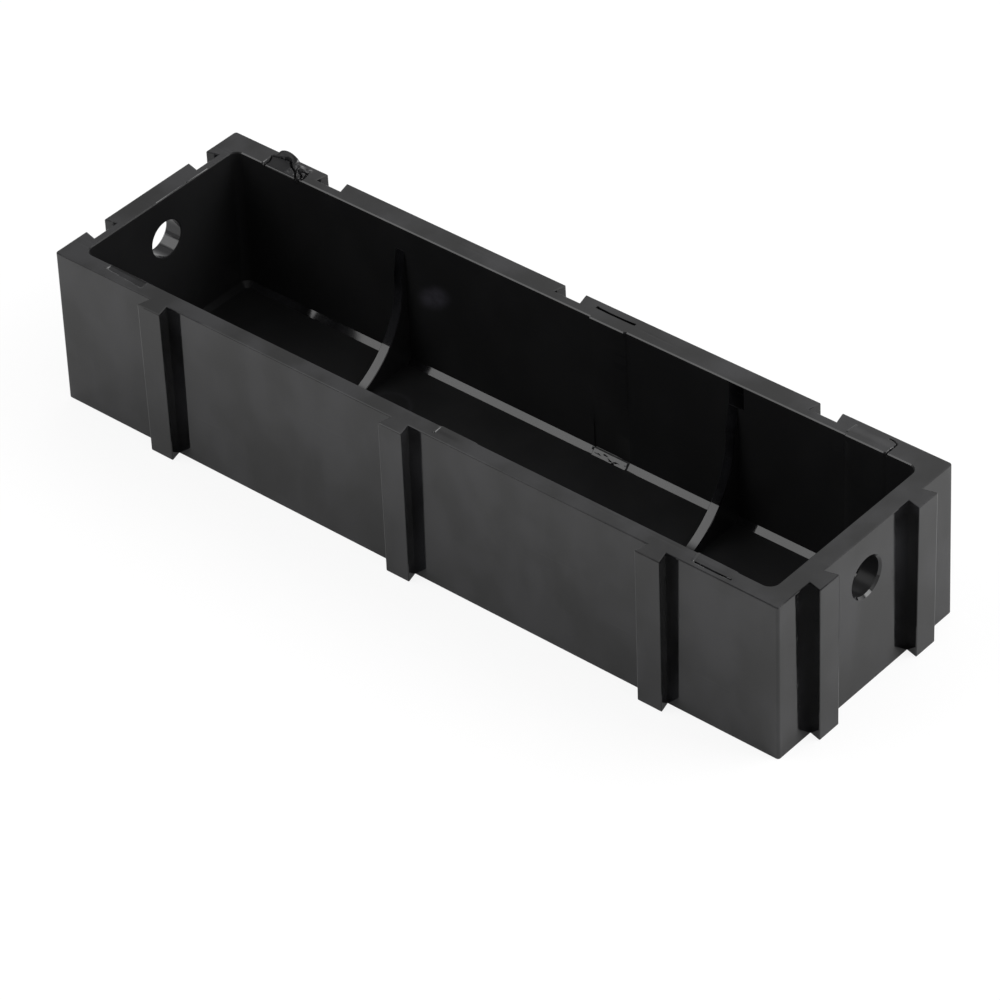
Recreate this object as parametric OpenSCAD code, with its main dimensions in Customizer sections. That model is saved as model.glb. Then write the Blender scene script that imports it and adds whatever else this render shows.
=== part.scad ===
/* [Cell] */
// Diameter of the round cell that lies in the tray
cell_d = 18.3; // [16:0.1:19]
// Gap between the cell and the arc of each rib
cradle_play = 0.1; // [0.05:0.05:0.4]

/* [Tray] */
// Length of the bay between the two end walls
bay_len = 76.1; // [70:0.1:90]
// Height from the base to the rim
tray_h = 15.9; // [15.4:0.1:18]
// Thickness of the floor
floor_t = 1.15; // [0.8:0.05:1.8]
// Thickness of the back wall, which carries grooves
back_wall_t = 2.2; // [2:0.05:3]
// Thickness of the front wall, which carries rails
front_wall_t = 1.7; // [1.2:0.05:3]
// Thickness of the left end wall, which carries grooves
left_wall_t = 2; // [1.9:0.05:3]
// Thickness of the right end wall, which carries rails
right_wall_t = 1.9; // [1.2:0.05:3]
// How much further out each wall stands at the base than at the rim
draft = 0.14; // [0.05:0.01:0.25]
// Radius of the upright corners inside the bay
bay_corner_r = 0.9; // [0.5:0.1:2]
// Leg of the 45 degree slope where the walls meet the floor
foot_slope = 0.5; // [0.2:0.05:1]

/* [Ribs] */
// Thickness of each rib along the tray
rib_t = 0.98; // [0.6:0.02:2]
// Thickness of each rib between the cell and the long wall
rib_nose = 0.55; // [0.3:0.05:1]
// Distance between the two ribs
rib_pitch = 37.3; // [25:0.1:50]
// Shift of the pair of ribs towards the right end
rib_shift = 0.2; // [-1:0.05:1]
// Drop from the rim to the tops of the ribs
rib_drop = 2.5; // [1:0.1:3]

/* [Dovetails] */
// Width of a rail at its tip
rail_tip_w = 2.6; // [2.2:0.05:3.2]
// Width of a rail where it leaves the wall at the rim
rail_root_w = 1.95; // [1.4:0.05:2.2]
// How far a rail stands out from the wall at the rim
rail_reach = 1.3; // [0.9:0.05:1.4]
// Gap on each side of a neighbour's rail in a groove
side_play = 0.15; // [0.05:0.05:0.3]
// Gap between a neighbour's rail tip and the bottom of a groove
tip_play = 0.24; // [0.1:0.02:0.3]
// Number of rails on the front, and of grooves in the back
long_count = 3; // [2:1:3]
// Distance between neighbouring rails on the front
long_pitch = 27.6; // [18:0.1:30]
// Distance between the two rails on the right end
end_pitch = 13.25; // [10:0.05:15]

/* [Contact holes] */
// Diameter of the hole in each end wall
hole_d = 3.7; // [2.5:0.1:4.5]
// Height of the holes' axis above the cell's axis
hole_rise = 1.2; // [-2:0.1:1.5]
// Width of the bevel at each hole's outer edge
hole_bevel = 0.2; // [0.1:0.05:0.4]

/* [Gate stub] */
// Width of the torn stub on the back wall's rim
stub_w = 2.4; // [1.6:0.1:3]
// Height of the stub above the rim
stub_h = 0.6; // [0.2:0.05:0.8]
// Depth of the stub across the wall
stub_depth = 0.7; // [0.4:0.1:1.2]
// Distance of the stub from the body's left end
stub_from_left = 6; // [4:0.1:10]

/* [Hidden] */
// Rails on the right end, one on each side of the contact hole
end_count = 2;
// Overlap of pieces that are fused
bite = 0.3;
// How far a cut runs past the surface that it opens
over = 1;
arc_fn = 96;
corner_fn = 48;
cradle_r = cell_d / 2 + cradle_play;
cell_z = floor_t + cell_d / 2;
rib_h = tray_h - rib_drop;
hole_z = cell_z + hole_rise;
bay_w = 2 * (cradle_r + rib_nose);
body_len = bay_len + left_wall_t + right_wall_t;
body_w = bay_w + front_wall_t + back_wall_t;
bay_x = (left_wall_t - right_wall_t) / 2;
bay_y = (front_wall_t - back_wall_t) / 2;
half_len = body_len / 2;
half_w = body_w / 2;
// Neighbours touch at the base, where both walls stand out by the draft
groove_depth = rail_reach - 2 * draft + tip_play;
flank = (rail_tip_w - rail_root_w) / 2 / rail_reach;
stub_r = (pow(stub_w / 2, 2) + pow(stub_h, 2)) / (2 * stub_h);

// A profile in Y and Z drawn out along X, centred on it
module along_x(length) {
    rotate([90, 0, 90]) linear_extrude(length, center = true) children();
}

// A profile in X and Z drawn out along Y, centred on it
module along_y(length) {
    rotate([90, 0, 0]) linear_extrude(length, center = true) children();
}

// A section that leans in from the base to the rim on both sides
module drafted_section(half) {
    polygon([
        [-half - draft, 0],
        [half + draft, 0],
        [half, tray_h],
        [-half, tray_h]
    ]);
}

// The solid block, with the draft on all four sides
module outer_block() {
    intersection() {
        along_x(body_len + 2 * over) drafted_section(half_w);
        along_y(body_w + 2 * over) drafted_section(half_len);
    }
}

// The plan of the bay, with rounded corners
module bay_plan() {
    corner_x = bay_len / 2 - bay_corner_r;
    corner_y = bay_w / 2 - bay_corner_r;
    square([bay_len, bay_w - 2 * bay_corner_r], center = true);
    square([bay_len - 2 * bay_corner_r, bay_w], center = true);
    for (sx = [-1, 1], sy = [-1, 1])
        translate([sx * corner_x, sy * corner_y]) circle(bay_corner_r, $fn = corner_fn);
}

// The open space above the floor
module bay() {
    translate([bay_x, bay_y, floor_t]) linear_extrude(tray_h - floor_t + over) bay_plan();
}

// The slope at the foot of a wall whose face is at the given distance from the bay's middle
module foot_section(face) {
    polygon([
        [face - foot_slope - bite, floor_t - bite],
        [face + bite, floor_t - bite],
        [face + bite, floor_t + foot_slope + bite]
    ]);
}

// The four slopes round the floor
module foot_slopes() {
    translate([bay_x, bay_y, 0])
        for (turn = [0, 1]) {
            mirror([0, turn, 0]) along_x(bay_len + 2 * bite) foot_section(bay_w / 2);
            mirror([turn, 0, 0]) along_y(bay_w + 2 * bite) foot_section(bay_len / 2);
        }
}

// One rib across the bay, hollowed to the cell's round and open above the cell's axis
module cradle_rib() {
    difference() {
        translate([-rib_t / 2, -bay_w / 2 - bite, floor_t - bite])
            cube([rib_t, bay_w + 2 * bite, rib_h - floor_t + bite]);
        translate([0, 0, cell_z]) rotate([0, 90, 0])
            cylinder(h = rib_t + 2 * over, r = cradle_r, center = true, $fn = arc_fn);
        translate([-rib_t / 2 - over, -cradle_r, cell_z])
            cube([rib_t + 2 * over, 2 * cradle_r, tray_h - cell_z]);
    }
}

// Both ribs in their places
module cradle_ribs() {
    for (side = [-1, 1])
        translate([rib_shift + side * rib_pitch / 2, bay_y, 0]) cradle_rib();
}

// Plan of a rail that stands out along +Y from a wall at the rim
module rail_plan() {
    polygon([
        [-rail_root_w / 2, -bite],
        [rail_root_w / 2, -bite],
        [rail_root_w / 2, 0],
        [rail_tip_w / 2, rail_reach],
        [-rail_tip_w / 2, rail_reach],
        [-rail_root_w / 2, 0]
    ]);
}

// Plan of the groove that takes such a rail, cut along -Y from the wall
module groove_plan() {
    outside = draft + bite;
    mouth = rail_root_w / 2 + side_play - flank * outside;
    bottom = rail_root_w / 2 + side_play + flank * groove_depth;
    polygon([
        [-mouth, outside],
        [mouth, outside],
        [bottom, -groove_depth],
        [-bottom, -groove_depth]
    ]);
}

// Places for a row of equal features along X, centred
module row(count, pitch) {
    for (i = [0 : count - 1])
        translate([(i - (count - 1) / 2) * pitch, 0, 0]) children();
}

// Rails on the front wall and on the right end wall
module rails() {
    translate([0, -half_w, 0]) rotate([0, 0, 180])
        row(long_count, long_pitch) linear_extrude(tray_h) rail_plan();
    translate([half_len, 0, 0]) rotate([0, 0, -90])
        row(end_count, end_pitch) linear_extrude(tray_h) rail_plan();
}

// Grooves in the back wall and in the left end wall, open at the rim and at the base
module grooves() {
    translate([0, half_w, -over])
        row(long_count, long_pitch) linear_extrude(tray_h + 2 * over) groove_plan();
    translate([-half_len, 0, -over]) rotate([0, 0, 90])
        row(end_count, end_pitch) linear_extrude(tray_h + 2 * over) groove_plan();
}

// Round holes through the end walls for the contacts, bevelled on the outside
module contact_holes() {
    hole_len = left_wall_t + right_wall_t + 2 * over;
    face = half_len + draft * (1 - hole_z / tray_h);
    for (side = [0, 1]) mirror([side, 0, 0]) {
        translate([half_len, 0, hole_z]) rotate([0, 90, 0])
            cylinder(h = hole_len, d = hole_d, center = true, $fn = arc_fn);
        translate([face - hole_bevel, 0, hole_z]) rotate([0, 90, 0])
            cylinder(h = over, d1 = hole_d, d2 = hole_d + 2 * over, $fn = arc_fn);
    }
}

// The stub that the mould's gate left on the rim, a low hump across the back wall
module gate_stub() {
    stub_x = -half_len + stub_from_left;
    translate([stub_x, half_w - stub_depth / 2, tray_h]) intersection() {
        translate([0, 0, stub_h - stub_r]) rotate([90, 0, 0])
            cylinder(h = stub_depth, r = stub_r, center = true, $fn = arc_fn);
        translate([-stub_w / 2, -stub_depth, -bite])
            cube([stub_w, 2 * stub_depth, stub_h + 2 * bite]);
    }
}

// The whole moulding
module tray() {
    color("#1c1c1e") {
        difference() {
            union() {
                difference() {
                    outer_block();
                    bay();
                }
                foot_slopes();
                rails();
                gate_stub();
            }
            grooves();
            contact_holes();
        }
        cradle_ribs();
    }
}

tray();
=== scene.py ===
"""Battery holder: a black moulded tray for one round cell, in a white studio.

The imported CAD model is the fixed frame. Its one node is replaced by a detailed moulding of the
same size, with rounded edges, the marks of the mould's inserts, the torn gate, handling nicks and
a slight bow in the long walls. All mesh work is in millimetres until the piece is finished.
"""

import logging
import math
from collections.abc import Callable, Iterable, Sequence
from dataclasses import dataclass, field
from enum import Enum

import bmesh
import bpy
from mathutils import Euler, Matrix, Vector, noise


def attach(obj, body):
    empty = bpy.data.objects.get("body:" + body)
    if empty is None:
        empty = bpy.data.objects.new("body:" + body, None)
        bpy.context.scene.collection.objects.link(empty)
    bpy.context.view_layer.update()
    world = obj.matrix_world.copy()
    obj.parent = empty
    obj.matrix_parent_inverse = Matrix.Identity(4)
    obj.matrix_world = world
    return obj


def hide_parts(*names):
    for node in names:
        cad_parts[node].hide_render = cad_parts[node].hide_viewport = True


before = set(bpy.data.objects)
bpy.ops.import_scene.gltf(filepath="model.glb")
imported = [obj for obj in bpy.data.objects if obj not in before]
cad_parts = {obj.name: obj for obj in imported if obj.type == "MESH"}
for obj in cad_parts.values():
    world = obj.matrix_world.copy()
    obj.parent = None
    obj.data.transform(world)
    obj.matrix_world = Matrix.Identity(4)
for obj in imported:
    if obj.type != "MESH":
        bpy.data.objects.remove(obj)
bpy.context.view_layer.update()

LOG = logging.getLogger("battery_holder")
MM = 0.001

Path = tuple[tuple[float, float], ...]
Plan = Sequence[tuple[float, float]]
Socket = bpy.types.NodeSocket


class Combine(Enum):
    """What a boolean step does with the volume of its tool."""

    JOIN = "UNION"
    CUT = "DIFFERENCE"


class Side(Enum):
    """A long wall of the tray, with the sign of its place along Y."""

    FRONT = -1
    BACK = 1


class Skin(Enum):
    """A surface of the moulding, with its place among the piece's materials."""

    POLISHED = 0
    SATIN = 1
    TORN = 2


def smooth_step(low: float, high: float, value: float) -> float:
    """Eases from 0 at the low limit to 1 at the high one."""
    share = min(1.0, max(0.0, (value - low) / (high - low)))
    return share * share * (3.0 - 2.0 * share)


def window(low: float, high: float, value: float, rise: float, fall: float) -> float:
    """Gives 1 inside a range and 0 outside, with a ramp of the given length inside each end."""
    return smooth_step(low, low + rise, value) * (1.0 - smooth_step(high - fall, high, value))


def line_distance(point: Vector, path: Path) -> float:
    """Measures how far a point in the plane lies from a path of straight runs.

    Args:
        point: The point.
        path: Corners of the path, in order.

    Returns:
        The shortest distance, in the path's own unit.
    """
    nearest = math.inf
    corners = [Vector(corner) for corner in path]
    for start, end in zip(corners, corners[1:]):
        run = end - start
        share = min(1.0, max(0.0, (point - start).dot(run) / run.length_squared))
        nearest = min(nearest, (start + run * share - point).length)
    return nearest


def wander(spot: Vector, scale: float, reach: float) -> Vector:
    """Gives a smooth random shift in the plane, up to the given reach along each axis."""
    away = Vector((5.3, 1.7, 9.1))
    return reach * Vector((noise.noise(spot * scale), noise.noise(spot * scale + away)))


class Workpiece:
    """A closed mesh in millimetres that boolean steps, bevels and cuts shape."""

    def __init__(self) -> None:
        """Starts with nothing."""
        self.bm = bmesh.new()

    @classmethod
    def block(cls, low: Vector, high: Vector) -> "Workpiece":
        """Makes a box between two corners.

        Args:
            low: Lowest corner.
            high: Highest corner.

        Returns:
            The new piece.
        """
        piece = cls()
        place = Matrix.Translation((low + high) / 2) @ Matrix.Diagonal((*(high - low), 1.0))
        bmesh.ops.create_cube(piece.bm, size=1.0, matrix=place)
        return piece

    @classmethod
    def pebble(cls, place: Vector, radius: float) -> "Workpiece":
        """Makes a small coarse ball.

        Args:
            place: Its middle.
            radius: Its radius.

        Returns:
            The new piece.
        """
        piece = cls()
        bmesh.ops.create_icosphere(
            piece.bm, subdivisions=2, radius=radius, matrix=Matrix.Translation(place)
        )
        return piece

    @classmethod
    def drawn_up(cls, base_plan: Plan, top_plan: Plan, low: float, high: float) -> "Workpiece":
        """Draws a plan in X and Y up along Z, into another plan with as many corners.

        Args:
            base_plan: Corners of the lower end, in order.
            top_plan: Corners of the upper end, in the same order.
            low: Height of the lower end.
            high: Height of the upper end.

        Returns:
            The new piece.
        """
        piece = cls()
        base = [piece.bm.verts.new((x, y, low)) for x, y in base_plan]
        sheet = piece.bm.faces.new(base)
        bmesh.ops.extrude_face_region(piece.bm, geom=[sheet], use_keep_orig=True)
        for vert, (x, y) in zip(base, top_plan):
            ends = [edge.other_vert(vert) for edge in vert.link_edges]
            next(end for end in ends if end not in base).co = (x, y, high)
        bmesh.ops.recalc_face_normals(piece.bm, faces=piece.bm.faces)
        return piece

    @classmethod
    def turned(cls, sections: Sequence[tuple[float, float]], segments: int) -> "Workpiece":
        """Makes a solid round piece along X by spinning its outline.

        Args:
            sections: Pairs of place along X and radius, in order.
            segments: Number of faces round the piece.

        Returns:
            The new piece.
        """
        piece = cls()
        outline = [(sections[0][0], 0.0), *sections, (sections[-1][0], 0.0)]
        verts = [piece.bm.verts.new((place, 0.0, radius)) for place, radius in outline]
        edges = [piece.bm.edges.new(pair) for pair in zip(verts, verts[1:])]
        bmesh.ops.spin(
            piece.bm,
            geom=[*verts, *edges],
            cent=(0.0, 0.0, 0.0),
            axis=(1.0, 0.0, 0.0),
            angle=math.tau,
            steps=segments,
            use_merge=True,
        )
        bmesh.ops.remove_doubles(piece.bm, verts=piece.bm.verts, dist=1e-5)
        bmesh.ops.recalc_face_normals(piece.bm, faces=piece.bm.faces)
        return piece

    def placed(self, matrix: Matrix) -> "Workpiece":
        """Moves the piece.

        Args:
            matrix: Where its frame goes.

        Returns:
            This piece.
        """
        bmesh.ops.transform(self.bm, matrix=matrix, verts=self.bm.verts)
        if matrix.determinant() < 0:
            bmesh.ops.reverse_faces(self.bm, faces=self.bm.faces)
        return self

    def combine(self, how: Combine, tools: Iterable["Workpiece"]) -> None:
        """Joins other pieces to this one, or cuts them out of it, and uses them up.

        Args:
            how: Join or cut.
            tools: The other pieces.
        """
        for tool in tools:
            stock, cutter = self.loose_object("stock"), tool.loose_object("cutter")
            step = stock.modifiers.new("combine", "BOOLEAN")
            step.operation = how.value
            step.solver = "EXACT"
            step.object = cutter
            graph = bpy.context.evaluated_depsgraph_get()
            made = bpy.data.meshes.new_from_object(stock.evaluated_get(graph))
            self.bm.clear()
            self.bm.from_mesh(made)
            for spare in (stock.data, cutter.data, made):
                bpy.data.meshes.remove(spare)
            tool.bm.free()
        bmesh.ops.remove_doubles(self.bm, verts=self.bm.verts, dist=1e-4)

    def merge_flat(self) -> None:
        """Dissolves the edges between faces that lie in one plane."""
        bmesh.ops.dissolve_limit(
            self.bm, angle_limit=math.radians(0.2), verts=self.bm.verts, edges=self.bm.edges
        )

    def loose_object(self, name: str) -> bpy.types.Object:
        """Puts the mesh in the scene for a modifier.

        Args:
            name: Name of the mesh and of its object.

        Returns:
            The object.
        """
        mesh = bpy.data.meshes.new(name)
        self.bm.to_mesh(mesh)
        thing = bpy.data.objects.new(name, mesh)
        bpy.context.scene.collection.objects.link(thing)
        return thing

    def set_in_order(self) -> None:
        """Sorts the mesh by place, so that what is done next comes out the same in each run."""

        def rank(middle: Vector) -> float:
            """Turns a place into one number, by X, then Y, then Z in microns."""
            x, y, z = (round(value * 1000.0) for value in middle)
            return (x * 50000.0 + y) * 50000.0 + z

        self.bm.verts.sort(key=lambda vert: rank(vert.co))
        self.bm.edges.sort(key=lambda edge: rank((edge.verts[0].co + edge.verts[1].co) / 2))
        self.bm.faces.sort(key=lambda face: rank(face.calc_center_median()))
        ordered = bpy.data.meshes.new("ordered")
        self.bm.to_mesh(ordered)
        self.bm.clear()
        self.bm.from_mesh(ordered)
        bpy.data.meshes.remove(ordered)

    def bevel(
        self, width: float, segments: int, wanted: Callable[[bmesh.types.BMEdge], bool]
    ) -> None:
        """Bevels chosen edges, round where it has more than one segment.

        Args:
            width: How far the bevel reaches from the edge.
            segments: Number of strips.
            wanted: Says of an edge whether it is bevelled.
        """
        self.set_in_order()
        bmesh.ops.bevel(
            self.bm,
            geom=[edge for edge in self.bm.edges if wanted(edge)],
            offset=width,
            offset_type="OFFSET",
            affect="EDGES",
            segments=segments,
            profile=0.5,
            clamp_overlap=False,
            material=-1,
        )

    def split_many_sided(self) -> None:
        """Splits faces of more than four sides into triangles, so that cuts stay clean."""
        wide = [face for face in self.bm.faces if len(face.verts) > 4]
        bmesh.ops.triangulate(self.bm, faces=wide)

    def slice(
        self,
        axis: int,
        places: Iterable[float],
        within: Callable[[Vector], bool] | None = None,
    ) -> None:
        """Cuts new edges along planes square to one axis, without parting the piece.

        Args:
            axis: 0, 1 or 2 for planes square to X, Y or Z.
            places: Where the planes stand along that axis.
            within: Says of a face's middle whether the face is cut. None cuts all.
        """
        normal = Vector((0.0, 0.0, 0.0))
        normal[axis] = 1.0
        faces = [f for f in self.bm.faces if within is None or within(f.calc_center_median())]
        verts = dict.fromkeys(vert for face in faces for vert in face.verts)
        edges = dict.fromkeys(edge for face in faces for edge in face.edges)
        zone = [*verts, *edges, *faces]
        for place in places:
            cut = bmesh.ops.bisect_plane(
                self.bm, geom=zone, dist=1e-4, plane_co=normal * place, plane_no=normal
            )
            zone = cut["geom"]

    def push(self, move: Callable[[Vector], Vector]) -> None:
        """Moves each vertex by the shift that the given function has at its place."""
        for vert in self.bm.verts:
            vert.co += move(vert.co)

    def crease(self, inner_deg: float, outer_deg: float) -> None:
        """Shades the piece smoothly, apart from edges that turn sharply now or did before.

        Args:
            inner_deg: Turn past which an inner edge is sharp.
            outer_deg: Turn past which an outer edge is sharp.
        """
        for face in self.bm.faces:
            face.smooth = True
        for edge in self.bm.edges:
            limit = outer_deg if edge.is_convex else inner_deg
            if edge.calc_face_angle(0.0) > math.radians(limit):
                edge.smooth = False

    def open_edges(self) -> int:
        """Counts the edges that don't join exactly two faces."""
        return sum(1 for edge in self.bm.edges if len(edge.link_faces) != 2)


@dataclass(frozen=True)
class TraySizes:
    """The moulding's sizes in millimetres, with the names of the CAD source."""

    cell_d: float = 18.3
    cradle_play: float = 0.1
    bay_len: float = 76.1
    tray_h: float = 15.9
    floor_t: float = 1.15
    back_wall_t: float = 2.2
    front_wall_t: float = 1.7
    left_wall_t: float = 2.0
    right_wall_t: float = 1.9
    draft: float = 0.14
    bay_corner_r: float = 0.9
    foot_slope: float = 0.5
    rib_t: float = 0.98
    rib_nose: float = 0.55
    rib_pitch: float = 37.3
    rib_shift: float = 0.2
    rib_drop: float = 2.5
    rail_tip_w: float = 2.6
    rail_root_w: float = 1.95
    rail_reach: float = 1.3
    side_play: float = 0.15
    tip_play: float = 0.24
    long_count: int = 3
    long_pitch: float = 27.6
    end_count: int = 2
    end_pitch: float = 13.25
    hole_d: float = 3.7
    hole_rise: float = 1.2
    hole_bevel: float = 0.2

    @property
    def cradle_r(self) -> float:
        """Radius of the ribs' arc."""
        return self.cell_d / 2 + self.cradle_play

    @property
    def cell_z(self) -> float:
        """Height of the cell's axis."""
        return self.floor_t + self.cell_d / 2

    @property
    def bay_w(self) -> float:
        """Width of the bay."""
        return 2 * (self.cradle_r + self.rib_nose)

    @property
    def half_len(self) -> float:
        """Half the body's length at the rim."""
        return (self.bay_len + self.left_wall_t + self.right_wall_t) / 2

    @property
    def half_w(self) -> float:
        """Half the body's width at the rim."""
        return (self.bay_w + self.front_wall_t + self.back_wall_t) / 2

    @property
    def bay_x(self) -> float:
        """Middle of the bay along X."""
        return (self.left_wall_t - self.right_wall_t) / 2

    @property
    def bay_y(self) -> float:
        """Middle of the bay along Y."""
        return (self.front_wall_t - self.back_wall_t) / 2

    @property
    def flank(self) -> float:
        """How much a rail widens on each side for each millimetre of reach."""
        return (self.rail_tip_w - self.rail_root_w) / 2 / self.rail_reach

    @property
    def groove_depth(self) -> float:
        """Depth of a groove at the rim."""
        return self.rail_reach - 2 * self.draft + self.tip_play

    @property
    def rib_places(self) -> tuple[float, float]:
        """Places of the two ribs along X."""
        return (self.rib_shift - self.rib_pitch / 2, self.rib_shift + self.rib_pitch / 2)

    def inner_face(self, side: Side) -> float:
        """Gives the place along Y of a long wall's inner face."""
        return self.bay_y + side.value * self.bay_w / 2


@dataclass(frozen=True)
class Dovetail:
    """The plan of a rail or a groove on a wall, in millimetres from the rim's edge."""

    half: float
    slope: float
    end: float

    def corners(self, middle: float, line: float) -> list[tuple[float, float]]:
        """Gives its four corners, along the wall and outwards.

        Args:
            middle: Its place along the wall.
            line: How far out the wall itself stands.

        Returns:
            The corners, in the wall's direction.
        """
        near, far = self.half + self.slope * line, self.half + self.slope * self.end
        return [
            (middle - near, line),
            (middle - far, self.end),
            (middle + far, self.end),
            (middle + near, line),
        ]


@dataclass(frozen=True)
class EdgeRounds:
    """Widths of the moulding's broken edges and tip of the ribs' noses, in millimetres."""

    corner: float = 0.28
    bay_rim: float = 0.1
    edge: float = 0.09
    rib: float = 0.06
    nose_tip: float = 0.015
    turn_deg: float = 50.0


@dataclass
class TrayBlank:
    """Builds the moulding's clean shape, before its marks and its bow."""

    sizes: TraySizes = field(default_factory=TraySizes)
    rounds: EdgeRounds = field(default_factory=EdgeRounds)
    bite: float = 0.3
    over: float = 1.0
    # Dents from handling: the place and the radius of the ball that each is the print of
    nicks: tuple[tuple[float, float, float, float], ...] = (
        (40.08, -11.85, 16.0, 0.34),
        (39.7, -11.98, 15.95, 0.24),
        (40.18, -10.97, 16.02, 0.2),
        (-18.4, -9.98, 16.05, 0.26),
        (-4.1, -11.95, 16.04, 0.24),
        (16.62, 11.92, 16.05, 0.27),
        (-38.02, 3.1, 16.04, 0.22),
        (-37.92, -1.9, 16.05, 0.2),
        (-29.05, -13.16, 9.4, 0.2),
        (28.95, -13.15, 4.2, 0.2),
    )
    # Plan of the slot in the back wall's rim
    slot: Path = (
        (2.96, 10.75),
        (3.3, 10.74),
        (4.4, 10.71),
        (6.15, 10.72),
        (6.9, 10.73),
        (7.28, 10.76),
        (7.26, 11.05),
        (6.85, 11.0),
        (6.1, 10.96),
        (4.45, 10.95),
        (3.25, 11.02),
        (2.99, 11.07),
    )
    slot_depth: float = 0.5

    def build(self) -> Workpiece:
        """Makes the whole clean moulding.

        Returns:
            The piece, in millimetres.
        """
        rim = self.sizes.tray_h
        body = self.body_block()
        body.combine(Combine.CUT, [self.bay_cutter(), *self.hole_cutters()])
        body.merge_flat()
        body.bevel(self.rounds.bay_rim, 1, self.is_bay_rim)
        body.bevel(self.rounds.edge, 2, self.is_crisp)
        body.split_many_sided()
        body.combine(Combine.JOIN, self.ribs())
        dents = [Workpiece.pebble(Vector(nick[:3]), nick[3]) for nick in self.nicks]
        slot = Workpiece.drawn_up(self.slot, self.slot, rim - self.slot_depth, rim + self.over)
        body.combine(Combine.CUT, [slot, *dents])
        return body

    def is_crisp(self, edge: bmesh.types.BMEdge) -> bool:
        """Says whether an edge is an outer one that turns sharply enough to be rounded."""
        sharp = edge.calc_face_angle(0.0) > math.radians(self.rounds.turn_deg)
        return sharp and edge.is_convex

    def is_low_crisp(self, edge: bmesh.types.BMEdge) -> bool:
        """Says whether an edge is a crisp one that lies below the cell's axis."""
        low = all(vert.co.z < self.sizes.cell_z + 0.01 for vert in edge.verts)
        return low and self.is_crisp(edge)

    def is_bay_rim(self, edge: bmesh.types.BMEdge) -> bool:
        """Says whether an edge is the bay's, at the rim.

        Args:
            edge: The edge.

        Returns:
            True on the rim's inner edge.
        """
        s = self.sizes
        return all(
            vert.co.z > s.tray_h - 0.01
            and abs(vert.co.x - s.bay_x) < s.bay_len / 2 + 0.01
            and abs(vert.co.y - s.bay_y) < s.bay_w / 2 + 0.01
            for vert in edge.verts
        )

    @staticmethod
    def is_upright(edge: bmesh.types.BMEdge) -> bool:
        """Says whether an edge runs more along Z than across it."""
        run = edge.verts[1].co - edge.verts[0].co
        return abs(run.z) > 0.8 * run.length

    def is_corner(self, edge: bmesh.types.BMEdge) -> bool:
        """Says whether an edge is one of the body's four upright corners.

        Args:
            edge: The edge.

        Returns:
            True for such an edge.
        """
        spot = edge.verts[0].co
        far = abs(spot.x) > self.sizes.half_len - 0.01 and abs(spot.y) > self.sizes.half_w - 0.01
        return far and self.is_upright(edge)

    def outline(self, line: float) -> list[tuple[float, float]]:
        """Gives the tray's plan with its rails and grooves, at one height.

        Args:
            line: How far out from the rim's edge the walls stand there.

        Returns:
            The plan's corners, against the clock.
        """
        s = self.sizes
        rail = Dovetail(s.rail_root_w / 2, s.flank, s.rail_reach)
        groove = Dovetail(s.rail_root_w / 2 + s.side_play, -s.flank, -s.groove_depth)
        long_row, end_row = (s.long_count, s.long_pitch), (s.end_count, s.end_pitch)
        corners = []
        for turn, form in enumerate((rail, rail, groove, groove)):
            half, out = (s.half_w, s.half_len) if turn % 2 else (s.half_len, s.half_w)
            count, pitch = end_row if turn % 2 else long_row
            wall = [(-half - line, line)]
            for i in range(count):
                wall += form.corners((i - (count - 1) / 2) * pitch, line)
            around = Matrix.Rotation(turn * math.pi / 2, 2)
            corners += [tuple(around @ Vector((along, -out - away))) for along, away in wall]
        return corners

    def body_block(self) -> Workpiece:
        """Makes the solid block with its rails and grooves, leaning in towards the rim.

        Returns:
            The block.
        """
        s = self.sizes
        block = Workpiece.drawn_up(self.outline(s.draft), self.outline(0.0), 0.0, s.tray_h)
        block.bevel(self.rounds.corner, 6, self.is_corner)
        return block

    def bay_cutter(self) -> Workpiece:
        """Makes the bay's volume, with round upright corners and a sloped foot.

        Returns:
            The cutter.
        """
        s = self.sizes
        reach = Vector((s.bay_len / 2, s.bay_w / 2, 0.0))
        middle = Vector((s.bay_x, s.bay_y, 0.0))
        bay = Workpiece.block(
            middle - reach + Vector((0.0, 0.0, s.floor_t)),
            middle + reach + Vector((0.0, 0.0, s.tray_h + self.over)),
        )
        bay.bevel(s.bay_corner_r, 8, self.is_upright)
        bay.bevel(s.foot_slope, 1, lambda e: all(v.co.z < s.floor_t + 1e-4 for v in e.verts))
        return bay

    def hole_cutters(self) -> list[Workpiece]:
        """Makes the volumes of the contact holes, flared at the outer face.

        Returns:
            The cutters.
        """
        s = self.sizes
        height = s.cell_z + s.hole_rise
        face = s.half_len + s.draft * (1 - height / s.tray_h)
        radius = s.hole_d / 2
        sections = [
            (face - s.left_wall_t - self.over, radius),
            (face - s.hole_bevel, radius),
            (face + self.over, radius + s.hole_bevel + self.over),
        ]
        up = Matrix.Translation((0.0, 0.0, height))
        flip = Matrix.Diagonal((-1.0, 1.0, 1.0, 1.0))
        return [Workpiece.turned(sections, 64).placed(place) for place in (up, up @ flip)]

    def open_top(self) -> Workpiece:
        """Makes the space above the cell's axis, with noses that lean back to the walls.

        Returns:
            The cutter, along X.
        """
        s = self.sizes
        wall = s.bay_w / 2 + self.bite
        top = s.tray_h - s.rib_drop
        side = [
            (s.cradle_r, s.cell_z),
            (s.bay_w / 2 - self.rounds.nose_tip, top),
            (wall, top),
            (wall, s.tray_h),
        ]
        plan = [*side, *((-y, z) for y, z in reversed(side))]
        along = Matrix.Rotation(math.pi / 2, 4, "Z") @ Matrix.Rotation(math.pi / 2, 4, "X")
        return Workpiece.drawn_up(plan, plan, -self.over, self.over).placed(along)

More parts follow.
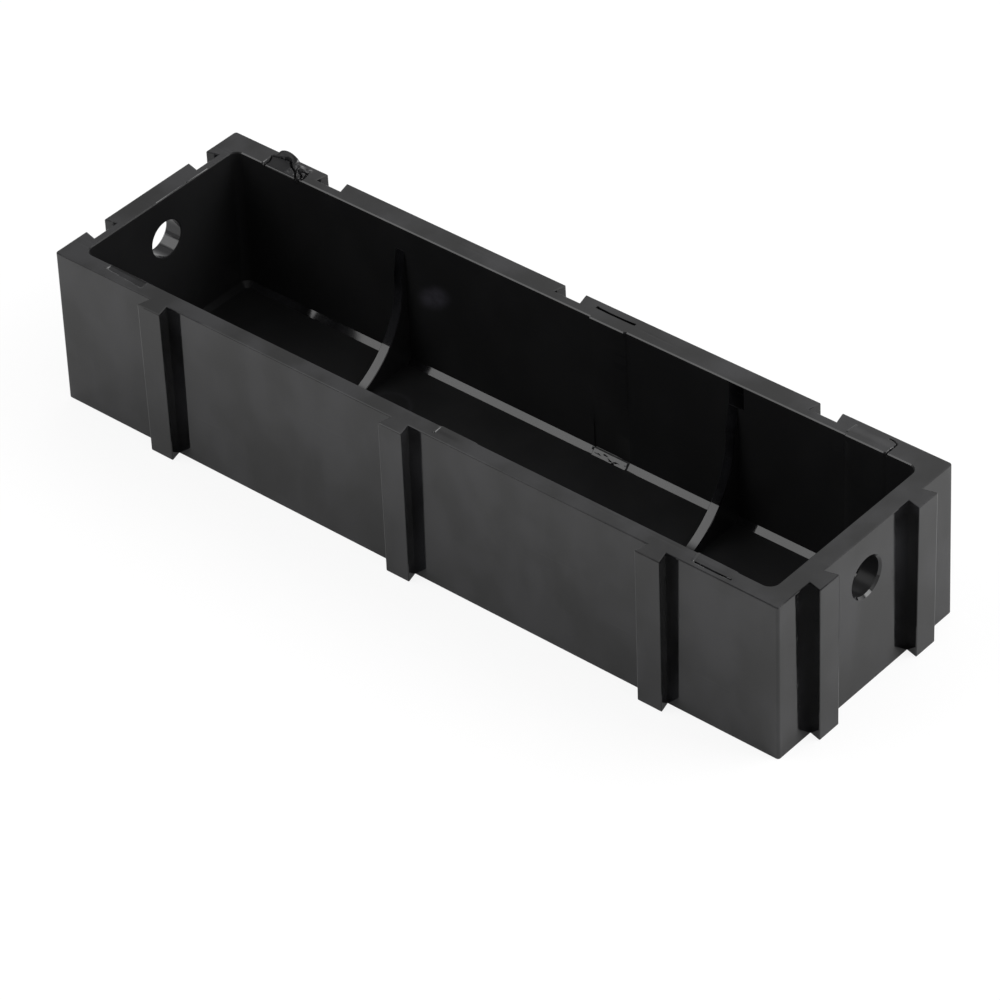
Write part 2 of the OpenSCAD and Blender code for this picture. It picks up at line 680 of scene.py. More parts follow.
    def ribs(self) -> list[Workpiece]:
        """Makes both cradle ribs, their arcs' edges rounded.

        Returns:
            The ribs in their places.
        """
        s = self.sizes
        made = []
        for rib_x in s.rib_places:
            half = Vector((s.rib_t / 2, s.bay_w / 2 + self.bite, 0.0))
            rib = Workpiece.block(
                -half + Vector((0.0, 0.0, s.floor_t - self.bite)),
                half + Vector((0.0, 0.0, s.tray_h - s.rib_drop + self.bite)),
            )
            rod = Workpiece.turned([(-self.over, s.cradle_r), (self.over, s.cradle_r)], 128)
            rod.placed(Matrix.Translation((0.0, 0.0, s.cell_z)))
            rib.combine(Combine.CUT, [rod, self.open_top()])
            rib.merge_flat()
            rib.bevel(self.rounds.rib, 1, self.is_low_crisp)
            rib.split_many_sided()
            made.append(rib.placed(Matrix.Translation((rib_x, s.bay_y, 0.0))))
        return made


@dataclass(frozen=True)
class Crack:
    """A narrow groove in the rim, in millimetres along X and across the wall.

    With a negative depth it is a fine raised line.
    """

    path: Path
    width: float = 0.07
    depth: float = 0.2
    stray: float = 0.05

    def cut(self, x: float, across: float, seed: float) -> float:
        """Gives the groove's depth at a point.

        Args:
            x: Place along the tray.
            across: Distance outwards from the wall's inner face.
            seed: Sets the groove's small bends.

        Returns:
            The depth in millimetres.
        """
        point = Vector((x, across)) + wander(Vector((x, across, seed)), 2.6, self.stray)
        gap = line_distance(point, self.path)
        return self.depth * (1.0 - smooth_step(0.45 * self.width, self.width, gap))


@dataclass(frozen=True)
class InsertMark:
    """Where an insert of the mould met a long wall: a pad in the inner part of the rim.

    Lengths are in millimetres. Across is measured outwards from the wall's inner face.
    """

    name: str
    side: Side
    start: float
    end: float
    reach: float
    lift: float
    flare: float = 0.0
    proud: float = 0.08
    proud_above: float = 2.0
    sunk: float = 0.0
    tilt: float = 0.0
    rise: float = 0.12
    fall: float = 0.12
    border: float = 0.1
    ripple: float = 0.05
    cracks: tuple[Crack, ...] = ()
    seed: float = 0.0

    def height(self, x: float, across: float) -> float:
        """Gives the rim's shift in height at a point.

        Args:
            x: Place along the tray.
            across: Distance outwards from the inner face.

        Returns:
            The shift in millimetres, up being positive.
        """
        bend = wander(Vector((x, across, self.seed)), 1.9, self.ripple)
        along = (x - self.start) / (self.end - self.start)
        reach = self.reach + self.flare * along
        inside = window(self.start, self.end, x + bend.x, self.rise, self.fall)
        inside *= 1.0 - smooth_step(reach - self.border, reach, across + bend.y)
        level = self.lift - self.tilt * across
        return level * inside - sum(c.cut(x, across, self.seed) for c in self.cracks)


@dataclass(frozen=True)
class GateScar:
    """The place on the back wall's rim where the mould's gate was torn off."""

    start: float = -34.85
    end: float = -30.1
    hump_x: float = -33.36
    hump_w: float = 2.4
    hump_h: float = 0.585
    hump_round: float = 0.75
    dull_end: float = -32.3
    scoop: float = 0.14
    rough: float = 0.16
    ripple: float = 0.06
    seed: float = 7.0
    tears: tuple[Crack, ...] = (
        Crack(
            ((-34.55, -0.1), (-34.42, 0.6), (-34.74, 1.3), (-34.35, 1.5), (-33.4, 1.66)),
            width=0.08,
            depth=0.3,
            stray=0.03,
        ),
        Crack(
            ((-33.4, 1.66), (-32.81, 1.7), (-32.2, 1.15), (-31.42, 0.75), (-30.6, -0.1)),
            width=0.12,
            depth=0.34,
            stray=0.06,
        ),
        Crack(
            ((-31.6, 0.95), (-31.0, 1.15), (-30.35, 1.24), (-30.2, 0.8), (-30.1, 0.2)),
            width=0.12,
            depth=0.34,
            stray=0.08,
        ),
        Crack(((-31.1, 1.0), (-30.7, 0.75), (-30.45, 0.35), (-30.5, -0.1)), 0.13, 0.36, 0.08),
    )

    def height(self, x: float, across: float) -> float:
        """Gives the rim's shift in height at a point.

        Args:
            x: Place along the tray.
            across: Distance outwards from the inner face.

        Returns:
            The shift in millimetres, up being positive.
        """
        spot = Vector((x, across, self.seed))
        bend = wander(spot, 1.6, self.ripple)
        inside = window(self.start, self.end, x + bend.x, 0.15, 0.5)
        inside *= 1.0 - smooth_step(1.3, 1.6, across + bend.y)
        shift = -self.scoop * inside * (1.0 - 0.5 * across)
        side = (x + bend.x - self.hump_x) / (self.hump_w / 2)
        bulge = max(0.0, 1.0 - side * side) ** self.hump_round
        shift += self.hump_h * bulge * smooth_step(1.45, 2.15, across + bend.y)
        torn = window(self.dull_end, self.end, x, 0.5, 0.3)
        torn *= window(0.3, 1.85, across, 0.3, 0.35)
        shift += torn * self.rough * (noise.fractal(spot * 1.9, 1.0, 2.0, 3) + 0.45)
        return shift - sum(tear.cut(x, across, self.seed) for tear in self.tears)

    def covers(self, point: Vector, sizes: TraySizes) -> bool:
        """Says whether a point of the rim lies on the scar's dull part.

        Args:
            point: The point.
            sizes: The tray's sizes.

        Returns:
            True on the scoop and the hump, but not on the torn end, which glints.
        """
        across = point.y - sizes.inner_face(Side.BACK)
        along = self.start + 0.1 < point.x < self.dull_end
        in_rim = along and point.z > sizes.tray_h - 0.4 and 0.12 < across < 2.4
        return in_rim and (across < 1.6 or point.z > sizes.tray_h + 0.02)


@dataclass
class Moulding:
    """The finished tray: the clean shape with its marks, scar and bow."""

    blank: TrayBlank = field(default_factory=TrayBlank)
    bow: float = 0.11
    grid: float = 1.6
    fine: float = 0.05
    band: float = 0.45
    margin: float = 0.5
    pad_edge: float = 0.05
    pit_step: float = 0.12
    pitted: float = 0.014
    foot_share: float = 0.6
    scar: GateScar = field(default_factory=GateScar)
    marks: tuple[InsertMark, ...] = (
        InsertMark(
            "back_middle",
            Side.BACK,
            start=3.34,
            end=7.36,
            reach=1.1,
            lift=0.0,
            proud=0.17,
            proud_above=9.0,
            sunk=0.09,
        ),
        InsertMark(
            "back_right",
            Side.BACK,
            start=30.6,
            end=34.85,
            reach=1.5,
            lift=0.035,
            border=0.9,
            cracks=(
                Crack(((30.56, 0.45), (30.64, 1.5)), 0.1, -0.055, 0.01),
                Crack(
                    ((34.85, -0.1), (34.88, 0.7), (34.8, 1.5), (34.3, 1.75), (33.95, 1.7)),
                    0.07,
                    0.22,
                    0.1,
                ),
            ),
            seed=3.0,
        ),
        InsertMark(
            "front_left",
            Side.FRONT,
            start=-34.78,
            end=-30.25,
            reach=0.68,
            lift=-0.05,
            flare=0.36,
            tilt=0.2,
            fall=0.3,
            border=0.14,
            cracks=(Crack(((-34.9, 0.62), (-34.86, 0.1)), 0.13, -0.005, 0.03),),
            seed=5.0,
        ),
        InsertMark(
            "front_middle",
            Side.FRONT,
            start=3.28,
            end=7.3,
            reach=1.05,
            lift=0.02,
            fall=3.4,
            border=0.6,
            cracks=(Crack(((3.31, 1.02), (3.24, 0.3)), 0.14, -0.1, 0.02),),
            seed=8.0,
        ),
        InsertMark(
            "front_right",
            Side.FRONT,
            start=30.62,
            end=34.85,
            reach=1.2,
            lift=0.02,
            fall=2.6,
            border=0.6,
            cracks=(
                Crack(((31.07, 1.13), (33.1, 1.16), (34.83, 1.11)), 0.08, 0.21, 0.015),
                Crack(((30.88, 1.1), (30.66, 0.2)), 0.1, -0.05, 0.01),
            ),
            seed=11.0,
        ),
    )

    def build(self) -> Workpiece:
        """Makes the finished tray in millimetres.

        Returns:
            The piece.
        """
        piece = self.blank.build()
        LOG.info("clean shape: %d faces, %d open edges", len(piece.bm.faces), piece.open_edges())
        piece.split_many_sided()
        self.cut_grid(piece)
        piece.crease(inner_deg=25.0, outer_deg=20.0)
        for mark in self.marks:
            self.cut_zone(piece, mark.side, mark.start, mark.end)
            self.press(piece, mark.side, mark.start, mark.end, mark.height)
            self.raise_pad(piece, mark)
            LOG.info("insert mark %s pressed", mark.name)
        self.cut_zone(piece, Side.BACK, self.scar.start, self.scar.end)
        self.press(piece, Side.BACK, self.scar.start, self.scar.end, self.scar.height)
        piece.push(self.bow_at)
        LOG.info("finished tray: %d faces, %d open", len(piece.bm.faces), piece.open_edges())
        return piece

    def cut_grid(self, piece: Workpiece) -> None:
        """Cuts the faces into a coarse grid, so that they can bow.

        Args:
            piece: The tray.
        """
        s = self.blank.sizes
        for axis, reach in ((0, s.half_len), (1, s.half_w)):
            count = int(2 * reach / self.grid)
            piece.slice(axis, [-reach + 2 * reach * (i + 0.5) / count for i in range(count)])
        count = int(s.tray_h / self.grid)
        piece.slice(2, [s.tray_h * (i + 0.5) / count for i in range(count)])

    def cut_zone(self, piece: Workpiece, side: Side, start: float, end: float) -> None:
        """Cuts a finely meshed zone into the top of a long wall.

        Args:
            piece: The tray.
            side: Which long wall.
            start: Where the zone starts along X.
            end: Where it ends.
        """
        s = self.blank.sizes
        low, high = start - self.margin, end + self.margin
        foot = s.tray_h - self.band
        inner = abs(s.inner_face(side))

        def near(point: Vector) -> bool:
            """Says whether a face's middle lies in the wall, about the zone."""
            return low - 3 < point.x < high + 3 and point.y * side.value > inner - 0.3

        def inside(point: Vector) -> bool:
            """Says whether a face's middle lies in the zone itself."""
            return low < point.x < high and near(point) and point.z > foot

        piece.slice(2, [foot], near)
        piece.slice(0, [low, high], near)
        count = round((high - low) / self.fine)
        piece.slice(0, [low + (high - low) * i / count for i in range(1, count)], inside)
        count = round((s.half_w - inner) / self.fine)
        places = [inner + (s.half_w - inner) * i / count for i in range(1, count)]
        piece.slice(1, [side.value * place for place in places], inside)

    def press(
        self,
        piece: Workpiece,
        side: Side,
        start: float,
        end: float,
        height: Callable[[float, float], float],
    ) -> None:
        """Shifts the top of a long wall up and down.

        Args:
            piece: The tray.
            side: Which long wall.
            start: Where the zone starts along X.
            end: Where it ends.
            height: Gives the shift from the place along X and across the wall.
        """
        s = self.blank.sizes
        inner = abs(s.inner_face(side))
        foot = s.tray_h - self.band

        def move(point: Vector) -> Vector:
            """Gives the shift of one point."""
            across = point.y * side.value - inner
            along = start - self.margin < point.x < end + self.margin
            if not (along and across > -0.01 and point.z > foot):
                return Vector((0.0, 0.0, 0.0))
            share = smooth_step(foot, s.tray_h - 0.09, point.z)
            return Vector((0.0, 0.0, share * height(point.x, max(0.0, across))))

        piece.push(move)

    def raise_pad(self, piece: Workpiece, mark: InsertMark) -> None:
        """Moves the pad's face a little into the bay and pits its foot.

        Args:
            piece: The tray.
            mark: The insert's mark.
        """
        s = self.blank.sizes
        inner = s.inner_face(mark.side)
        edge = self.pad_edge
        foot_top = s.floor_t + s.foot_slope

        def near(point: Vector) -> bool:
            """Says whether a face's middle lies on the wall's inner side."""
            depth = (inner - point.y) * mark.side.value
            return -0.1 < depth < 2.5 and mark.start - 3 < point.x < mark.end + 3

        def on_foot(point: Vector) -> bool:
            """Says whether a face's middle lies on the slope below the pad."""
            return near(point) and mark.start < point.x < mark.end and point.z < foot_top

        piece.slice(0, [mark.start, mark.start + edge, mark.end - edge, mark.end], near)
        count = round((mark.end - mark.start) / self.pit_step)
        step = (mark.end - mark.start) / count
        piece.slice(0, [mark.start + step * i for i in range(1, count)], on_foot)
        piece.slice(2, [s.floor_t + s.foot_slope * i / 5 for i in range(1, 5)], on_foot)

        def move(point: Vector) -> Vector:
            """Gives the shift of one point."""
            depth = (inner - point.y) * mark.side.value
            if point.z < s.floor_t - 0.05 or depth > s.foot_slope + 0.2:
                return Vector((0.0, 0.0, 0.0))
            share = window(mark.start, mark.end, point.x, edge, 0.3)
            share *= smooth_step(-0.35, -0.12, depth)
            high = smooth_step(mark.proud_above - 2.0, mark.proud_above, point.z)
            slope = 1.0 if s.floor_t + 0.02 < point.z < foot_top - 0.02 else 0.0
            pits = slope * self.pitted * (noise.fractal(point * 2.2, 1.0, 2.0, 3) - 0.2)
            low = (1.0 - slope) * (1.0 - smooth_step(4.0, 7.0, point.z))
            proud = mark.proud * max(high, self.foot_share * slope)
            inward = share * (proud - mark.sunk * low + pits)
            return Vector((0.0, -mark.side.value * inward, share * pits))

        piece.push(move)

    def bow_at(self, point: Vector) -> Vector:
        """Gives the inward bow of the long walls.

        Args:
            point: Where the bow is read.

        Returns:
            The shift of that point.
        """
        s = self.blank.sizes
        along = max(0.0, 1.0 - (point.x / s.half_len) ** 2)
        share = self.bow / s.half_w * along * point.z / s.tray_h
        return Vector((0.0, -point.y * share, 0.0))

    def skin_of(self, face: bmesh.types.BMFace) -> Skin:
        """Says which surface of the mould formed a face.

        Args:
            face: A face of the finished tray, in millimetres.

        Returns:
            Torn for the scar's dull part, satin for the bay's walls and floor and for the right
            hole, else polished.
        """
        s = self.blank.sizes
        middle, normal = face.calc_center_median(), face.normal
        if self.scar.covers(middle, s):
            return Skin.TORN
        brim = s.tray_h - 0.2
        in_hole = abs(normal.x) < 0.3 and middle.x > s.bay_x + s.bay_len / 2 + 0.1
        in_hole = in_hole and abs(middle.y) < 0.52 * s.hole_d and middle.z < brim
        in_bay = (
            abs(middle.x - s.bay_x) < s.bay_len / 2 + 0.16
            and abs(middle.y - s.bay_y) < s.bay_w / 2 + 0.16
            and middle.z < s.tray_h - 0.02
        )
        shines = normal.y < -0.4 and abs(normal.x) < 0.2 and 0.4 < normal.z < 0.92
        on_edge = shines and (middle.z < s.floor_t + s.foot_slope + 0.1 or middle.z > brim)
        on_rib = any(abs(middle.x - rib_x) < s.rib_t / 2 + 0.01 for rib_x in s.rib_places)
        on_arc = on_rib and abs(normal.x) < 0.8
        return Skin.SATIN if in_hole or in_bay and not on_edge and not on_arc else Skin.POLISHED


class NodeBench:
    """Adds and links the nodes of one material or world."""

    def __init__(self, tree: bpy.types.NodeTree) -> None:
        """Keeps the tree that the nodes go into."""
        self.tree = tree

    def add(self, kind: str, **settings: object) -> bpy.types.Node:
        """Adds a node.

        Args:
            kind: The node's type.
            **settings: Values of the node's own settings.

        Returns:
            The node.
        """
        node = self.tree.nodes.new(kind)
        for name, value in settings.items():
            setattr(node, name, value)
        return node

    def feed(self, target: Socket, value: Socket | float | Sequence[float]) -> None:
        """Links a socket to an input, or writes a plain value there.

        Args:
            target: The input.
            value: A socket or a value.
        """
        if isinstance(value, bpy.types.NodeSocket):
            self.tree.links.new(value, target)
        else:
            target.default_value = value

    def math(self, operation: str, *values: Socket | float) -> Socket:
        """Adds a math node.

        Args:
            operation: What it does.
            *values: Its inputs in order.

        Returns:
            Its result.
        """
        node = self.add("ShaderNodeMath", operation=operation)
        for target, value in zip(node.inputs, values):
            self.feed(target, value)
        return node.outputs[0]

    def ranged(self, value: Socket, low: float, high: float, to: tuple[float, float]) -> Socket:
        """Maps a range smoothly onto another, held at both ends.

        Args:
            value: What is mapped.
            low: Start of the range.
            high: End of the range.
            to: The two ends that it is mapped onto.

        Returns:
            The mapped value.
        """
        node = self.add("ShaderNodeMapRange", interpolation_type="SMOOTHSTEP")
        for target, number in zip(node.inputs, (value, low, high, *to)):
            self.feed(target, number)
        return node.outputs[0]

    def cloud(self, where: Socket, scale: float, detail: float) -> Socket:
        """Adds a noise pattern.

        Args:
            where: Coordinates that it is read at.
            scale: Number of its features in a metre.
            detail: How many finer layers it has.

        Returns:
            Its level, about 0.5 on average.
        """
        node = self.add("ShaderNodeTexNoise")
        self.feed(node.inputs["Vector"], where)
        self.feed(node.inputs["Scale"], scale)
        self.feed(node.inputs["Detail"], detail)
        return node.outputs["Fac"]

    def mixed(
        self, share: Socket, base: Socket | Sequence[float], top: Socket | Sequence[float]
    ) -> Socket:
        """Mixes two colours.

        Args:
            share: How much of the second.
            base: The first.
            top: The second.

        Returns:
            The mixed colour.
        """
        node = self.add("ShaderNodeMix", data_type="RGBA")
        target = {socket.identifier: socket for socket in node.inputs}
        self.feed(target["Factor_Float"], share)
        self.feed(target["A_Color"], base)
        self.feed(target["B_Color"], top)
        return next(socket for socket in node.outputs if socket.identifier == "Result_Color")

    def distance_from(
        self, middle: Vector, reach: Vector, turn_deg: float, where: Socket
    ) -> Socket:
        """Measures the distance from an ellipsoid's middle, 1 being its surface.

        Args:
            middle: Its middle in millimetres.
            reach: Its half axes in millimetres.
            turn_deg: How far it is turned about Y.
            where: Coordinates that it is read at.

        Returns:
            The distance.
        """
        local = self.add("ShaderNodeMapping", vector_type="TEXTURE")
        self.feed(local.inputs["Vector"], where)
        self.feed(local.inputs["Location"], tuple(middle * MM))
        self.feed(local.inputs["Rotation"], (0.0, math.radians(turn_deg), 0.0))
        self.feed(local.inputs["Scale"], tuple(reach * MM))
        size = self.add("ShaderNodeVectorMath", operation="LENGTH")
        self.feed(size.inputs[0], local.outputs["Vector"])
        return size.outputs["Value"]


@dataclass(frozen=True)
class BlackPlastic:
    """Black injection-moulded plastic with flow marks, fine scuffs and a little dust."""

    name: str
    low_colour: tuple[float, float, float]
    high_colour: tuple[float, float, float]
    roughness: float
    ior: float
    gloss: float
    dust: float = 0.0
    peel: float = 0.4
    peel_reach: float = 0.00002
    rubbed: bool = False

    def make(self) -> bpy.types.Material:
        """Builds the material.

        Returns:
            The material.
        """
        material = bpy.data.materials.new(self.name)
        material.use_nodes = True
        bench = NodeBench(material.node_tree)
        shader = material.node_tree.nodes["Principled BSDF"]
        shader.inputs["IOR"].default_value = self.ior
        shader.inputs["Specular IOR Level"].default_value = self.gloss
        where = bench.add("ShaderNodeTexCoord").outputs["Object"]
        colour = self.flow_marks(bench, where)
        if self.rubbed:
            colour = self.rubbed_places(bench, where, colour)
        bench.feed(shader.inputs["Base Color"], self.dusted(bench, where, colour))
        scuffs = self.scuffs(bench, where)
        smear = bench.ranged(bench.cloud(where, 130.0, 3.0), 0.35, 0.7, (-0.02, 0.04))
        rough = bench.math("ADD", bench.math("MULTIPLY_ADD", scuffs, 0.12, smear), self.roughness)
        bench.feed(shader.inputs["Roughness"], rough)
        bump = bench.add("ShaderNodeBump")
        bench.feed(bump.inputs["Distance"], self.peel_reach)
        bench.feed(bump.inputs["Strength"], self.peel)
        grain = bench.math("MULTIPLY_ADD", scuffs, -0.5, bench.cloud(where, 320.0, 2.0))
        bench.feed(bump.inputs["Height"], grain)
        bench.feed(shader.inputs["Normal"], bump.outputs["Normal"])
        return material

    def flow_marks(self, bench: NodeBench, where: Socket) -> Socket:
        """Makes the colour with the soft streaks that the melt left.

        Args:
            bench: The material's nodes.
            where: Object coordinates.

        Returns:
            The colour.
        """
        drawn = bench.add("ShaderNodeMapping")
        bench.feed(drawn.inputs["Vector"], where)
        bench.feed(drawn.inputs["Scale"], (1.15, 1.0, 0.75))
        level = bench.cloud(drawn.outputs["Vector"], 170.0, 5.0)
        flow = bench.ranged(level, 0.36, 0.66, (0.0, 1.0))
        return bench.mixed(flow, (*self.low_colour, 1.0), (*self.high_colour, 1.0))

    def rubbed_places(self, bench: NodeBench, where: Socket, colour: Socket) -> Socket:
        """Adds the hazy patch on the back wall and an ejector's pale ring on the floor.

        Args:
            bench: The material's nodes.
            where: Object coordinates.
            colour: The colour so far.

        Returns:
            The colour with both.
        """
        gap = bench.distance_from(
            Vector((-14.75, 9.55, 9.7)), Vector((2.7, 0.7, 1.5)), -34.0, where
        )
        patchy = bench.ranged(bench.cloud(where, 900.0, 3.0), 0.3, 0.65, (0.55, 1.0))
        haze = bench.math("MULTIPLY", bench.ranged(gap, 0.25, 1.0, (1.0, 0.0)), patchy)
        colour = bench.mixed(haze, colour, (0.046, 0.044, 0.054, 1.0))
        ring = bench.distance_from(
            Vector((-15.3, 3.2, 1.15)), Vector((2.1, 2.1, 1.0)), 0.0, where
        )
        off = bench.math("ABSOLUTE", bench.math("SUBTRACT", ring, 1.0))
        pale = bench.ranged(off, 0.02, 0.14, (0.7, 0.0))
        return bench.mixed(pale, colour, (0.02, 0.02, 0.022, 1.0))

    def dusted(self, bench: NodeBench, where: Socket, colour: Socket) -> Socket:
        """Adds a few tiny pale specks.

        Args:
            bench: The material's nodes.
            where: Object coordinates.
            colour: The colour so far.

        Returns:
            The colour with the specks.
        """
        specks = bench.add("ShaderNodeTexVoronoi")
        bench.feed(specks.inputs["Vector"], where)
        bench.feed(specks.inputs["Scale"], 330.0)
        chosen = bench.add("ShaderNodeSeparateColor")
        bench.feed(chosen.inputs["Color"], specks.outputs["Color"])
        rare = bench.math("GREATER_THAN", chosen.outputs["Red"], 0.955)
        spot = bench.ranged(specks.outputs["Distance"], 0.02, 0.045, (self.dust, 0.0))
        return bench.mixed(bench.math("MULTIPLY", rare, spot), colour, (0.3, 0.3, 0.3, 1.0))

    def scuffs(self, bench: NodeBench, where: Socket) -> Socket:
        """Makes fine scuff lines in two directions.

        Args:
            bench: The material's nodes.
            where: Object coordinates.

        Returns:
            Where the lines are, from 0 to 1.
        """
        found = []
        strokes = (((0.3, 0.5, 0.2), 90.0, 2600.0), ((0.9, -0.4, 0.6), 70.0, 2100.0))
        for turn, along, across in strokes:
            drawn = bench.add("ShaderNodeMapping")
            bench.feed(drawn.inputs["Vector"], where)
            bench.feed(drawn.inputs["Rotation"], turn)
            bench.feed(drawn.inputs["Scale"], (along, across, across))
            lines = bench.cloud(drawn.outputs["Vector"], 1.0, 1.0)
            found.append(bench.ranged(lines, 0.7, 0.78, (0.0, 1.0)))
        return bench.math("MAXIMUM", *found)


POLISHED = BlackPlastic(
    "black_plastic",
    low_colour=(0.0003, 0.0003, 0.0005),
    high_colour=(0.0145, 0.0145, 0.0162),
    roughness=0.075,
    ior=1.58,
    gloss=0.5,
    dust=0.35,
)
SATIN = BlackPlastic(
    "black_plastic_bay",
    low_colour=(0.0118, 0.0118, 0.0123),
    high_colour=(0.0146, 0.0146, 0.0152),
    roughness=0.3,
    ior=1.5,
    gloss=0.16,
    dust=0.12,
    peel=0.3,
    rubbed=True,
)
TORN = BlackPlastic(
    "black_plastic_torn",
    low_colour=(0.003, 0.003, 0.0035),
    high_colour=(0.011, 0.011, 0.012),
    roughness=0.4,
    ior=1.5,
    gloss=0.26,
    peel=1.0,
)


class DressedTray:
    """Turns the finished moulding into the piece that stands for the CAD node."""

    NODE = "tray"

    def __init__(self, moulding: Moulding, finishes: dict[Skin, BlackPlastic]) -> None:
        """Keeps the tray's shape and the plastic of each of its surfaces."""
        self.moulding = moulding
        self.finishes = finishes

    def build(self) -> bpy.types.Object:
        """Makes the piece and sets it in the frame.

        Returns:
            The piece.
        """
        piece = self.moulding.build()
        for face in piece.bm.faces:
            face.material_index = self.moulding.skin_of(face).value
        piece.placed(Matrix.Scale(MM, 4))
        piece.crease(inner_deg=50.0, outer_deg=60.0)
        mesh = bpy.data.meshes.new("tray_moulding")
        piece.bm.to_mesh(mesh)
        piece.bm.free()
        tray = bpy.data.objects.new("tray_moulding", mesh)
        bpy.context.scene.collection.objects.link(tray)
        for skin in Skin:
            mesh.materials.append(self.finishes[skin].make())
        normals = tray.modifiers.new("flat faces", "WEIGHTED_NORMAL")
        normals.keep_sharp = True
        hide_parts(self.NODE)
        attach(tray, "root")
        return tray


def stage_sheet(name: str, matrix: Matrix, half: tuple[float, float]) -> bpy.types.Object:
    """Makes a flat rectangle that belongs to the studio.

    Args:
        name: Name of the object, its mesh and its material.
        matrix: Where its middle and its normal go.
        half: Half its two sides.

    Returns:
        The object, with an empty material.
    """
    bm = bmesh.new()
    size = Matrix.Diagonal((*half, 1.0, 1.0))
    bmesh.ops.create_grid(bm, x_segments=1, y_segments=1, size=1.0, matrix=matrix @ size)
    mesh = bpy.data.meshes.new(name)
    bm.to_mesh(mesh)
    bm.free()
    sheet = bpy.data.objects.new(name, mesh)
    bpy.context.scene.collection.objects.link(sheet)
    material = bpy.data.materials.new(name)
    material.use_nodes = True
    material.node_tree.nodes.clear()
    mesh.materials.append(material)
    return sheet


@dataclass(frozen=True)
class Softbox:
    """A panel of light that the camera doesn't see, aimed at the tray."""

    name: str
    azimuth: float
    elevation: float
    distance: float
    width: float
    height: float
    radiance: float
    solid: float = 0.65

    def build(self) -> None:
        """Makes the panel, which fades towards its edges."""
        across, up = math.radians(self.azimuth), math.radians(self.elevation)
        out = Vector(
            (math.cos(up) * math.cos(across), math.cos(up) * math.sin(across), math.sin(up))
        )
        turn = out.to_track_quat("Z", "Y").to_matrix().to_4x4()
        place = Matrix.Translation(out * self.distance) @ turn
        panel = stage_sheet(self.name, place, (self.width / 2, self.height / 2))
        bench = NodeBench(panel.data.materials[0].node_tree)
        where = bench.add("ShaderNodeTexCoord").outputs["Object"]
        level = self.radiance
        for axis, half in ((turn.col[0], self.width / 2), (turn.col[1], self.height / 2)):
            along = bench.add("ShaderNodeVectorMath", operation="DOT_PRODUCT")
            bench.feed(along.inputs[0], where)
            bench.feed(along.inputs[1], tuple(axis.xyz / half))
            off = bench.math("ABSOLUTE", along.outputs["Value"])
            level = bench.math("MULTIPLY", bench.ranged(off, self.solid, 1.0, (1.0, 0.0)), level)
        glow = bench.add("ShaderNodeEmission")
        bench.feed(glow.inputs["Strength"], level)
        end = bench.add("ShaderNodeOutputMaterial")
        bench.feed(end.inputs["Surface"], glow.outputs["Emission"])
        panel.visible_camera = False
        panel.visible_shadow = False


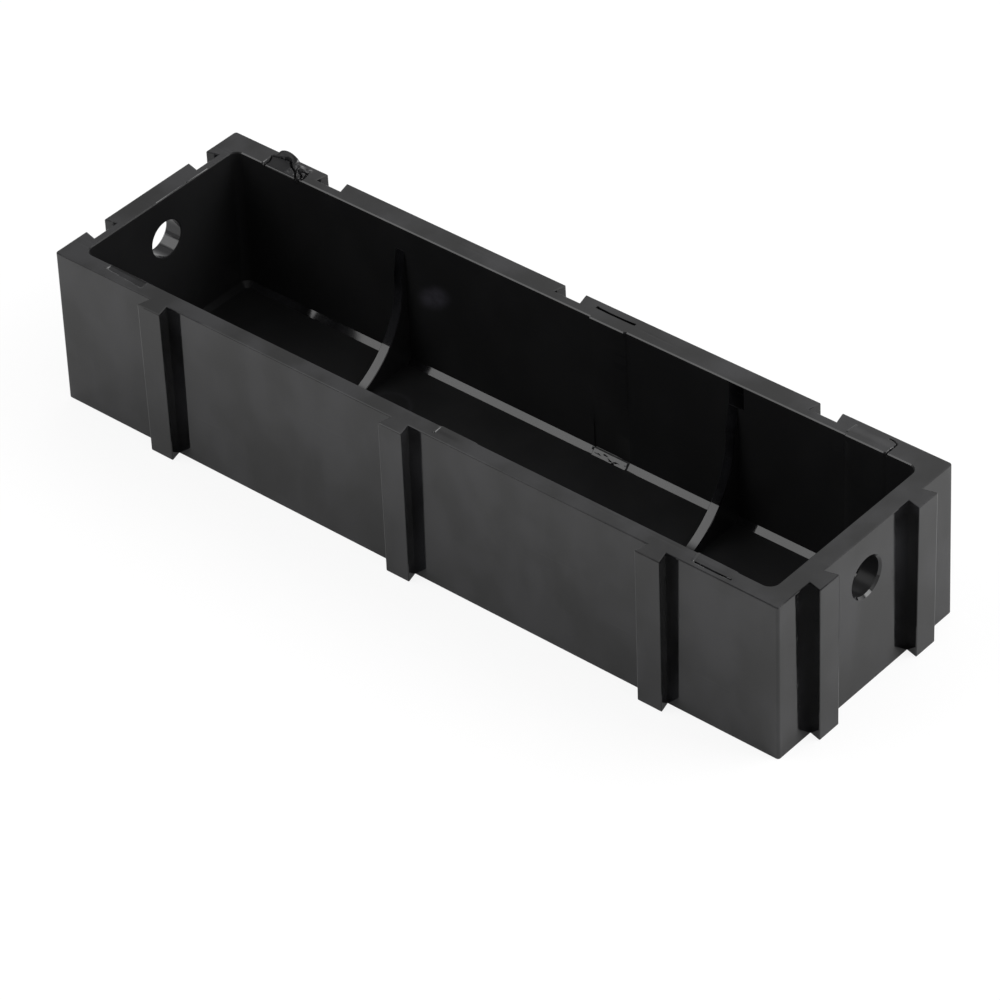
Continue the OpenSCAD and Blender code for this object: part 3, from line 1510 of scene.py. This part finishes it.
@dataclass(frozen=True)
class Studio:
    """The pale floor, the white surroundings, the softboxes and the camera."""

    floor_half: float = 1.5
    floor_colour: float = 0.8
    seen_white: float = 0.8
    glow: float = 1.08
    mirrored_white: float = 0.1
    sky: tuple[tuple[float, float], ...] = (
        (0.0, 0.82),
        (0.2, 0.82),
        (0.42, 0.63),
        (0.66, 0.63),
        (0.8, 0.82),
        (1.0, 0.82),
    )
    brighter_side: tuple[float, float, float] = (0.5, 0.866, 0.0)
    side_levels: tuple[float, float] = (0.55, 1.45)
    lens: float = 178.42
    camera_place: tuple[float, float, float] = (0.225028, -0.250908, 0.268596)
    camera_turn_deg: tuple[float, float, float] = (51.420992, 2.126342, 40.133607)
    boxes: tuple[Softbox, ...] = (
        Softbox(
            "softbox_left",
            azimuth=222.0,
            elevation=43.0,
            distance=0.7,
            width=0.7,
            height=0.7,
            radiance=2.2,
        ),
        Softbox(
            "softbox_right",
            azimuth=35.0,
            elevation=40.0,
            distance=0.42,
            width=0.34,
            height=0.28,
            radiance=4.7,
        ),
    )

    def build(self) -> None:
        """Sets up everything round the tray."""
        self.build_floor()
        self.build_world()
        self.build_camera()
        for box in self.boxes:
            box.build()
        bpy.context.scene.view_settings.view_transform = "Standard"

    def build_floor(self) -> None:
        """Makes the floor, which is white to the camera apart from a soft shadow."""
        half = (self.floor_half, self.floor_half)
        floor = stage_sheet("floor", Matrix.Identity(4), half)
        bench = NodeBench(floor.data.materials[0].node_tree)
        paper = bench.add("ShaderNodeBsdfDiffuse")
        bench.feed(paper.inputs["Color"], (*[self.floor_colour] * 3, 1.0))
        glow = bench.add("ShaderNodeEmission")
        bench.feed(glow.inputs["Strength"], self.glow)
        ray = bench.add("ShaderNodeLightPath")
        other = bench.math("ADD", ray.outputs["Is Glossy Ray"], ray.outputs["Is Transmission Ray"])
        dim = bench.math("MULTIPLY", other, self.mirrored_white)
        share = bench.math("MULTIPLY_ADD", ray.outputs["Is Camera Ray"], self.seen_white, dim)
        mix = bench.add("ShaderNodeMixShader")
        end = bench.add("ShaderNodeOutputMaterial")
        bench.feed(mix.inputs[0], share)
        bench.feed(mix.inputs[1], paper.outputs["BSDF"])
        bench.feed(mix.inputs[2], glow.outputs["Emission"])
        bench.feed(end.inputs["Surface"], mix.outputs["Shader"])

    def build_world(self) -> None:
        """Makes the surroundings: white to the camera, banded by height for the gloss."""
        world = bpy.data.worlds.new("studio")
        bpy.context.scene.world = world
        world.use_nodes = True
        world.node_tree.nodes.clear()
        bench = NodeBench(world.node_tree)
        where = bench.add("ShaderNodeTexCoord").outputs["Generated"]
        split = bench.add("ShaderNodeSeparateXYZ")
        bench.feed(split.inputs["Vector"], where)
        ramp = bench.add("ShaderNodeValToRGB")
        stops = ramp.color_ramp.elements
        stops[0].position, stops[1].position = self.sky[0][0], self.sky[-1][0]
        for place, _ in self.sky[1:-1]:
            stops.new(place)
        for stop, (_, level) in zip(stops, self.sky):
            stop.color = (level, level, level, 1.0)
        bench.feed(ramp.inputs["Fac"], split.outputs["Z"])
        facing = bench.add("ShaderNodeVectorMath", operation="DOT_PRODUCT")
        bench.feed(facing.inputs[0], where)
        bench.feed(facing.inputs[1], self.brighter_side)
        side = bench.ranged(facing.outputs["Value"], 0.0, 0.5, self.side_levels)
        level = bench.math("MULTIPLY", ramp.outputs["Color"], side)
        ray = bench.add("ShaderNodeLightPath")
        seen = bench.mixed(ray.outputs["Is Camera Ray"], level, (1.0, 1.0, 1.0, 1.0))
        sky = bench.add("ShaderNodeBackground")
        end = bench.add("ShaderNodeOutputWorld")
        bench.feed(sky.inputs["Color"], seen)
        bench.feed(end.inputs["Surface"], sky.outputs["Background"])

    def build_camera(self) -> None:
        """Makes the camera at the photograph's place."""
        data = bpy.data.cameras.new("camera")
        data.sensor_width = 36.0
        data.lens = self.lens
        data.clip_start = 0.01
        data.clip_end = 10.0
        camera = bpy.data.objects.new("camera", data)
        bpy.context.scene.collection.objects.link(camera)
        camera.location = self.camera_place
        camera.rotation_euler = Euler([math.radians(turn) for turn in self.camera_turn_deg])
        bpy.context.scene.camera = camera


def main() -> None:
    """Builds the tray and the studio round it."""
    logging.basicConfig(level=logging.INFO, format="%(name)s: %(message)s")
    finishes = {Skin.POLISHED: POLISHED, Skin.SATIN: SATIN, Skin.TORN: TORN}
    tray = DressedTray(Moulding(), finishes).build()
    LOG.info("%s: %d vertices", tray.name, len(tray.data.vertices))
    Studio().build()
    LOG.info("studio built")


if __name__ == "__main__":
    main()
